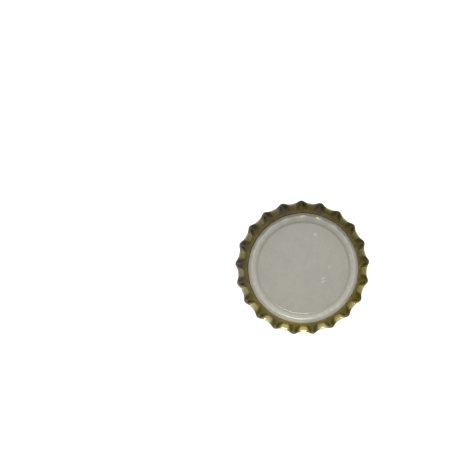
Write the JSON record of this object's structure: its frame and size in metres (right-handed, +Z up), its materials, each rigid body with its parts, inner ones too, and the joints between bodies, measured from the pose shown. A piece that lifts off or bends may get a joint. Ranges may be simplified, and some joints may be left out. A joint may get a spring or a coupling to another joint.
{
  "type": "bottle cap",
  "caption": "Bottle cap lying face down: a drawn tinplate shell with a fluted, flaring skirt, lacquered gold inside, and a moulded grey sealing liner.",
  "frame": {"origin": "centre of the panel's outer face, on which the cap lies", "axes": "+Z up along the cap's axis, out of the mouth; one tooth points along +X"},
  "size_m": [0.0319, 0.032, 0.006],
  "materials": {
    "tinplate": "gloss",
    "compound": "satin"
  },
  "bodies": {
    "root": {"shell": "tinplate", "liner": "compound"}
  },
  "joints": []
}
